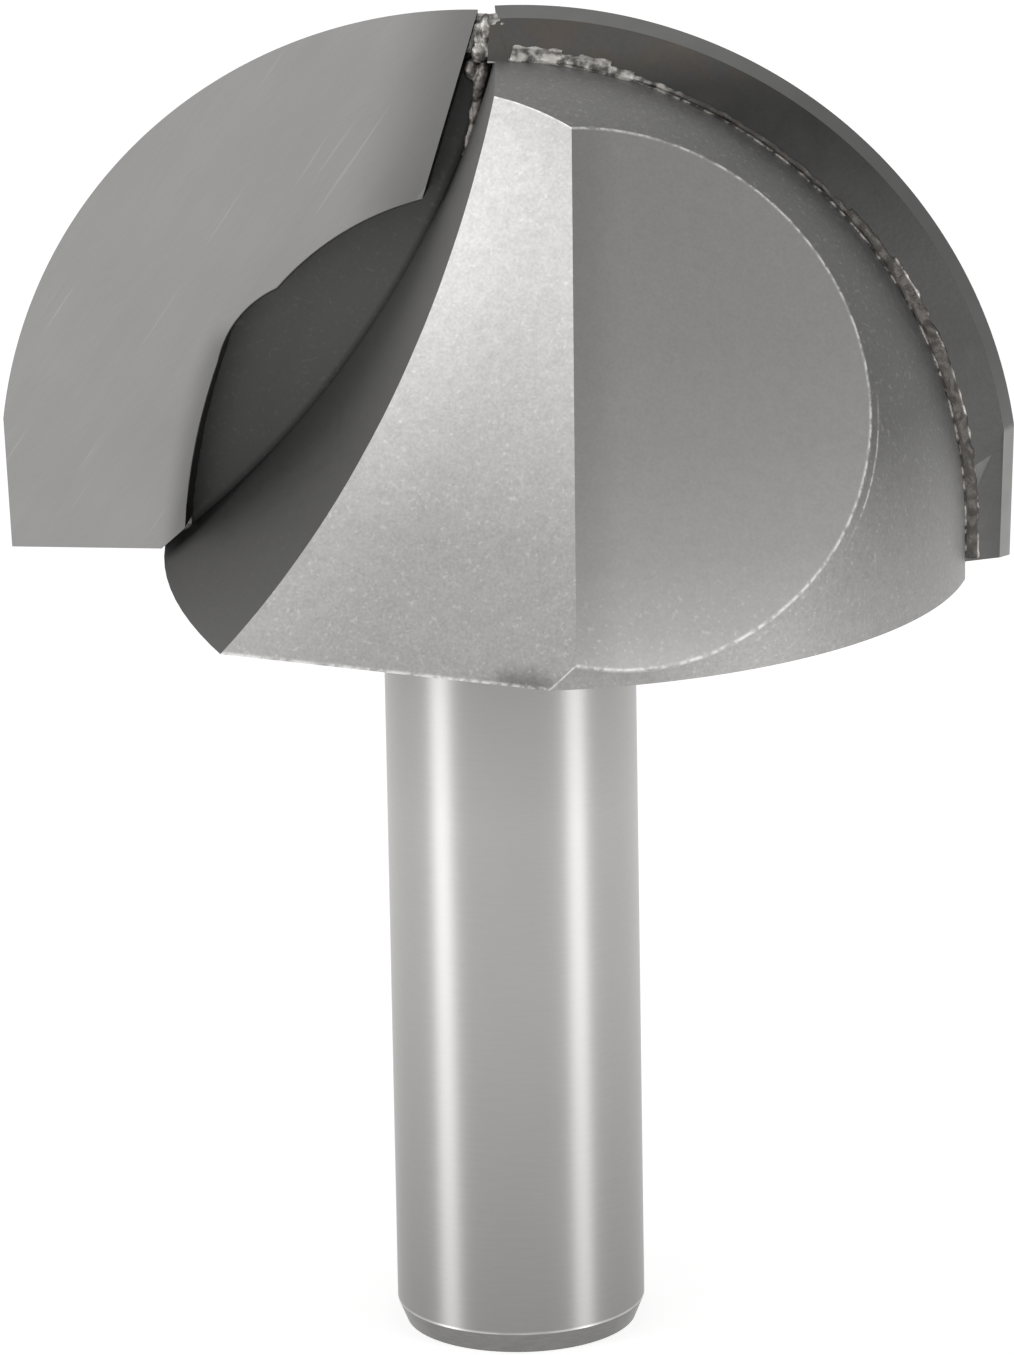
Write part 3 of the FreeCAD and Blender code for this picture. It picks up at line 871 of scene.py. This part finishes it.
# %% Finishes of the flutes
def flute_finish(name, shade_of, crease_of):
    steel = Finish(name)
    fine, coarse, spark = grain(steel)
    # Painted shade: the hollow's shade by height, down to half of it in the crease.
    shade = shade_of(steel) * crease_of(steel).size().step(0, 0.4, 0.5, 1)
    steel.paint(shade * (0.88 + 0.1 * fine + 0.14 * coarse) + 0.02 * spark, STEEL_TINT)
    steel.roughen(0.5 + 0.1 * coarse)
    steel.emboss(coarse, 0.006)
    return steel


def floor_shade(steel):
    return steel.graded(steel.z, (40, 88), (48, 90), (54, 94), (60, 88), (66, 76))


def wall_shade(steel):
    stops = ((40, 103), (43, 97), (46, 94), (49, 96), (52, 104), (56, 114), (60, 114), (66, 125))
    return steel.graded(steel.z, *stops)


def floor_crease(steel):
    """Depth of a place on the floor inside the rim of the wheel."""
    across = steel.x.size() - WHEEL_AXIS[0]
    up = steel.z - WHEEL_AXIS[1]
    return WHEEL_RADIUS - (across * across + up * up) ** 0.5


def wall_crease(steel):
    """Height of a place on the wall above the floor."""
    return steel.y * steel.x.sign() + SEAT_DEPTH


FINISHES = {
    "shank": shank_finish(),
    "bevel": bevel_finish(),
    "dome": dome_finish(),
    "trailing": trailing_finish(),
    "leading": leading_finish(),
    "floor": flute_finish("flute_floor", floor_shade, floor_crease),
    "wall": flute_finish("flute_wall", wall_shade, wall_crease),
}
print("finishes of the steel:", list(FINISHES))

# %% [markdown]
# A piece gets all its finishes at once. A function tells the name of the finish from the middle of a face
# and its normal, and the faces then share one material slot for each name.

# %% Dress the body
def dress(piece, part_of):
    """Gives each face of a piece the finish that its place and normal call for."""
    names = [part_of(face.center / MM, face.normal) for face in piece.data.polygons]
    used = sorted(set(names))
    piece.data.materials.clear()
    for name in used:
        piece.data.materials.append(FINISHES[name].material)
    for face, name in zip(piece.data.polygons, names):
        face.material_index = used.index(name)
    print(piece.name, {name: names.count(name) for name in used})


def part_of_body(place, normal):
    """The finish of a face of the body. The back is looked up as the front, after half a turn."""
    if place.z < BASE_HEIGHT - 0.01:
        return "bevel" if place.z < SHANK_BEVEL[1] else "shank"
    if normal.z < -0.99:
        return "shank"
    if place.y > 0:
        place, normal = HALF_TURN @ place, HALF_TURN @ normal
    if normal.dot(TRAILING_FLAT) > 0.9999:
        return "trailing"
    if normal.dot(LEADING_FLAT) > 0.9999:
        return "leading"
    rise = Vector((place.x, place.y, max(place.z - DOME_CENTRE, 0)))
    if normal.dot(rise.normalized()) > 0.995 and rise.length > DOME_RADIUS - 0.1:
        return "dome"
    return "floor" if abs(normal.y) > 0.999 else "wall"


dress(body, part_of_body)

# %% [markdown]
# Carbide is harder than any wheel but a diamond one, which leaves its rake face smooth and full of
# straight fine scratches. Towards the nose beside the inner side, and beside the long hollow, it gets
# painted shade where its rounded inner edge falls away into the flute.

# %% Finish of the rake face
CARBIDE_TINT = (1.0, 0.99, 0.975)
NOSE_LEAN = 0.31


def rake_finish(side):
    """The ground front of a plate. Side is 1 for the first plate and -1 for the second."""
    carbide = Finish(f"rake_face_{side}")
    shallow, steep = (0, side * radians(33), 0), (0, side * radians(56), 0)
    fine = carbide.noise(0.1, 3, stretch=(30, 1, 1), turn=shallow)
    cross = carbide.noise(0.16, 3, stretch=(30, 1, 1), turn=steep)
    broad = carbide.noise(1.0, 2, stretch=(7, 1, 1), turn=steep)
    cloud = carbide.noise(6, 2)
    scratch = carbide.noise(0.22, 1, stretch=(45, 1, 1), turn=steep).step(0.7, 0.78)
    # Painted shade beside the inner side at the top, where the rounded edge falls away into the flute.
    out_along = carbide.x.size()
    inner = (TIP_HEIGHT - carbide.z) * NOSE_LEAN + TIPS[1]
    nose_side = (out_along - inner).step(0, 4.5, 0.62, 1)
    only_top = carbide.z.step(56, 59)
    shade = tone(149) * (1 - only_top * (1 - nose_side))
    # Painted shade beside the long hollow, low down.
    inner_x, inner_z = arc_centre(SHIN, ANKLE, SHIN_HOLLOW)
    aside, above = out_along - inner_x, carbide.z - inner_z
    painted_shading = ((aside * aside + above * above) ** 0.5 - SHIN_HOLLOW).step(0, 1.3, 0.66, 1)
    shade = shade * (1 - (1 - painted_shading) * carbide.z.step(51, 53, 1, 0))
    marks = 0.84 + 0.08 * fine + 0.08 * cross + 0.08 * broad + 0.1 * cloud
    carbide.paint(shade * marks + 0.05 * scratch, CARBIDE_TINT)
    carbide.roughen(0.3 + 0.1 * cross)
    carbide.emboss(fine + cross, 0.0012)
    return carbide


# %% [markdown]
# The soft edge goes from the rake face down into the painted shade of the flute. The land behind the
# cutting edge is ground smooth. The flank below it keeps the dark skin of sintering and the brown tint of
# brazing. Both get painted light and shade by height as well.

# %% Finishes of the rim and the sides
def soft_edge_finish():
    carbide = Finish("soft_edge")
    depth = EDGE_LEAD - carbide.y.size()
    # Painted shade, darker the deeper the round goes.
    carbide.paint(carbide.graded(depth, (0, 138), (0.12, 122), (0.4, 100), (0.85, 72)), CARBIDE_TINT)
    carbide.roughen(0.35)
    return carbide


def land_finish():
    carbide = Finish("land")
    cloud = carbide.noise(1.5, 3)
    # Painted light by height: the straight lower part of the land is lighter than its curved upper part.
    stops = ((40.7, 143), (47.3, 134), (47.6, 96), (51, 88), (58, 84), (64, 92), (67.5, 108))
    shade = carbide.graded(carbide.z, *stops)
    carbide.paint(shade * (0.9 + 0.2 * cloud), CARBIDE_TINT)
    carbide.roughen(0.32)
    return carbide


BROWN_TINT = (1.0, 0.9, 0.8)


def flank_finish():
    carbide = Finish("flank")
    cloud = carbide.noise(1.6, 4)
    fine = carbide.noise(0.25, 3)
    # The flank's dark skin, with painted shade by height, darkest just below the nose.
    stops = ((40.7, 94), (44, 84), (47, 76), (52, 68), (56, 72), (60, 66), (63.5, 57), (65, 64), (66.8, 88))
    painted_shading = carbide.graded(carbide.z, *stops) * (0.66 + 0.5 * cloud + 0.18 * fine)
    brown = carbide.z.step(63.5, 66.3) * cloud.step(0.35, 0.6)
    carbide.stain(painted_shading, brown, CARBIDE_TINT, BROWN_TINT)
    carbide.roughen(0.45 + 0.2 * cloud)
    carbide.emboss(fine + cloud, 0.012)
    return carbide


def side_finish():
    carbide = Finish("plate_side")
    cloud = carbide.noise(0.6, 3)
    carbide.paint(tone(92) * (0.7 + 0.6 * cloud), CARBIDE_TINT)
    carbide.roughen(0.5)
    return carbide


CARBIDE_FINISHES = {
    "rake_1": rake_finish(1),
    "rake_2": rake_finish(-1),
    "soft_edge": soft_edge_finish(),
    "land": land_finish(),
    "flank": flank_finish(),
    "side": side_finish(),
}
FINISHES.update(CARBIDE_FINISHES)
print("finishes of the carbide:", list(CARBIDE_FINISHES))

# %% [markdown]
# The faces of a plate are told apart by their depth behind the rake face. The second plate has a rake
# finish of its own, because its scratches have to lean the other way once it is turned round.

# %% Dress the plates
OUTER_FROM = 22.6


def part_of_plate(place, normal):
    """The finish of a face of either plate."""
    side = 1 if place.x > 0 else -1
    depth = EDGE_LEAD - side * place.y
    if depth < 0.001:
        return "rake_1" if side > 0 else "rake_2"
    outer = hypot(abs(place.x) - EDGE_CENTRE[0], place.z - EDGE_CENTRE[1]) > OUTER_FROM
    if outer and abs(normal.y) < 0.9 and normal.z > -0.9:
        return "land" if depth < LAND_DEPTH - 0.01 else "flank"
    if depth < SOFT_EDGE and abs(normal.y) > 0.05:
        return "soft_edge"
    return "side"


for plate in plates:
    dress(plate, part_of_plate)

# %% [markdown]
# The filler is a silver alloy. It froze pale and crinkled over the nose, ran down the flute in a brown
# ribbon, and stained brown and grey along the joint, with bright metal left on the two borders of the
# strip.

# %% Finishes of the filler
PALE_TINT = (1.0, 0.965, 0.91)
STAINED_TINT = (1.0, 0.93, 0.87)


def melt(name, grain):
    """A filler whose colour is blotched by a crinkle of this grain, in millimetres."""
    filler = Finish(name)
    crinkle = filler.noise(grain, 4)
    fine = filler.noise(0.12, 3)
    filler.roughen(0.35 + 0.25 * crinkle)
    filler.emboss(fine + crinkle, 0.03)
    return filler, crinkle


def seam_finish():
    filler, crinkle = melt("braze_seam", 0.45)
    outside = 0 - filler.in_dome()
    borders = (outside - 0.32).size().step(0.2, 0.3)
    torn = filler.noise(0.7, 3).step(0.44, 0.58)
    smear = filler.z.step(64.2, 65.6) * outside.step(0.35, 0.8, 1, 0.1)
    strip = tone(76) * (0.6 + 0.8 * crinkle) + borders * torn * tone(178)
    pale = tone(178) * crinkle.step(0.36, 0.66, 0.2, 1.0)
    shade = strip * (1 - smear) + pale * smear
    filler.stain(shade, 1 - smear.largest(borders * torn), PALE_TINT, STAINED_TINT)
    return filler


def nose_finish():
    filler, crinkle = melt("braze_nose", 0.4)
    slot = filler.z.step(65.6, 66.5)
    ribbon = tone(112) * crinkle.step(0.3, 0.7, 0.45, 1.5)
    pale = tone(172) * crinkle.step(0.36, 0.62, 0.25, 1.05)
    filler.stain(ribbon * (1 - slot) + pale * slot, 1 - slot, PALE_TINT, STAINED_TINT)
    return filler


FINISHES["seam"] = seam_finish()
FINISHES["nose"] = nose_finish()
print("all finishes:", list(FINISHES))

# %% [markdown]
# At the nose the filler beside a plate was ground flush with the flank and is as dark and brown as the
# flank.

# %% Dress the filler
def part_of_nose(place, normal):
    """The finish of a face of the nose: the ground blocks lie beside the plates."""
    return "flank" if abs(place.y) > 0.7 and place.x * place.y < 0.3 and place.z > 66.3 else "nose"


for piece in braze:
    dress(piece, lambda place, normal: "seam")
dress(nose, part_of_nose)

# %% [markdown]
# The pieces now take the places of the plain solids. They all ride on the one rigid body, and each is
# listed with the material slot that it belongs to.

# %% Hand the pieces over
for piece, node, slot in (
    (body, "bit_body", "steel"),
    (plates[0], "carbide_insert_1", "carbide"),
    (plates[1], "carbide_insert_2", "carbide"),
    (braze[0], "braze_seam_1", "braze"),
    (braze[1], "braze_seam_2", "braze"),
    (nose, "nose_bead", "braze"),
):
    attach(piece, "root")
    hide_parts(node)
print("pieces handed over")

# %% [markdown]
# The studio is a wide pale floor, a pale surround and two soft panels. Both floor and surround look white
# to the camera and in the metal, but give less light to what they light, so the floor keeps its shadow.

# %% What sees the studio directly
def seen_directly(tree):
    """1 for rays from the camera, from glossy metal or through glass, and 0 for soft bounced light."""
    path = tree.nodes.new("ShaderNodeLightPath")
    total = path.outputs["Is Camera Ray"]
    for name in ("Is Glossy Ray", "Is Transmission Ray"):
        more = tree.nodes.new("ShaderNodeMath")
        more.operation = "MAXIMUM"
        tree.links.new(total, more.inputs[0])
        tree.links.new(path.outputs[name], more.inputs[1])
        total = more.outputs[0]
    return total


# %% Surround
SURROUND = 0.4
world = bpy.data.worlds.new("surround")
world.use_nodes = True
bpy.context.scene.world = world
tree = world.node_tree
strength = tree.nodes.new("ShaderNodeMix")
strength.inputs[2].default_value = SURROUND
strength.inputs[3].default_value = 1
tree.links.new(seen_directly(tree), strength.inputs[0])
tree.links.new(strength.outputs[0], tree.nodes["Background"].inputs["Strength"])
tree.nodes["Background"].inputs["Color"].default_value = (1, 1, 1, 1)
print("surround:", SURROUND)

# %% Floor
FLOOR_GLOW = 0.66
floor = begin("plane", "floor", size=4)
end_edit()
paper = bpy.data.materials.new("paper")
paper.use_nodes = True
tree = paper.node_tree
sheet = tree.nodes["Principled BSDF"]
sheet.inputs["Base Color"].default_value = (0.8, 0.8, 0.8, 1)
sheet.inputs["Roughness"].default_value = 0.9
glow = tree.nodes.new("ShaderNodeEmission")
glow.inputs["Strength"].default_value = FLOOR_GLOW
both = tree.nodes.new("ShaderNodeAddShader")
tree.links.new(sheet.outputs[0], both.inputs[0])
tree.links.new(glow.outputs[0], both.inputs[1])
choice = tree.nodes.new("ShaderNodeMixShader")
tree.links.new(seen_directly(tree), choice.inputs[0])
tree.links.new(sheet.outputs[0], choice.inputs[1])
tree.links.new(both.outputs[0], choice.inputs[2])
tree.links.new(choice.outputs[0], tree.nodes["Material Output"].inputs["Surface"])
floor.data.materials.append(paper)
print("floor glow:", FLOOR_GLOW)

# %% [markdown]
# One panel stands at each side of the camera, low down, because a shank seen from above mirrors what is
# low. They give the two bright stripes down the shank. The colours are shown as they are, with the
# Standard view.

# %% Soft panels
PANEL_RISE = radians(6)
PANEL_DISTANCE = 0.8
AIM_HEIGHT = 0.04


def panel(name, azimuth, size, radiance):
    """A soft lamp that faces the bit, turned round it from the front and raised a little."""
    level = Vector((sin(azimuth), -cos(azimuth), 0))
    spot = (level * cos(PANEL_RISE) + UP * sin(PANEL_RISE)) * PANEL_DISTANCE
    bpy.ops.object.select_all(action="DESELECT")
    bpy.ops.object.light_add(type="AREA", location=spot + UP * AIM_HEIGHT)
    lamp = bpy.context.object
    lamp.name = name
    lamp.rotation_euler = spot.to_track_quat("Z", "Y").to_euler()
    lamp.data.shape = "RECTANGLE"
    lamp.data.size, lamp.data.size_y = size
    lamp.data.energy = radiance * pi * size[0] * size[1]
    print(name, "W:", round(lamp.data.energy, 2))


panel("left_panel", radians(-60), (0.25, 0.26), 10.5)
panel("right_panel", radians(66), (0.24, 0.26), 10)
bpy.context.scene.view_settings.view_transform = "Standard"

# %% [markdown]
# The photo was taken from far off with a long lens, from a little above and a little to the right. The
# camera is set by its turn, rise and roll. It looks at a point on the axis half way up and stands back
# from it.

# %% Camera
CAMERA_TURN = radians(6.862)
CAMERA_RISE = radians(16.393)
CAMERA_ROLL = radians(-1.01)
CAMERA_TARGET = UP * 0.034098
CAMERA_ASIDE = -0.000174
CAMERA_DISTANCE = 0.435332
CAMERA_LENS = 229.1
toward = Vector((sin(CAMERA_TURN) * cos(CAMERA_RISE), -cos(CAMERA_TURN) * cos(CAMERA_RISE), sin(CAMERA_RISE)))
level = Vector((cos(CAMERA_TURN), sin(CAMERA_TURN), 0))
above = toward.cross(level)
right = cos(CAMERA_ROLL) * level + sin(CAMERA_ROLL) * above
bpy.ops.object.select_all(action="DESELECT")
bpy.ops.object.camera_add()
camera = bpy.context.object
camera.matrix_world = Matrix((right, toward.cross(right), toward)).transposed().to_4x4()
camera.location = CAMERA_TARGET + CAMERA_ASIDE * level + CAMERA_DISTANCE * toward
camera.data.lens = CAMERA_LENS
camera.data.clip_start = 0.01
bpy.context.scene.camera = camera
print("camera at, m:", [round(value, 3) for value in camera.location])
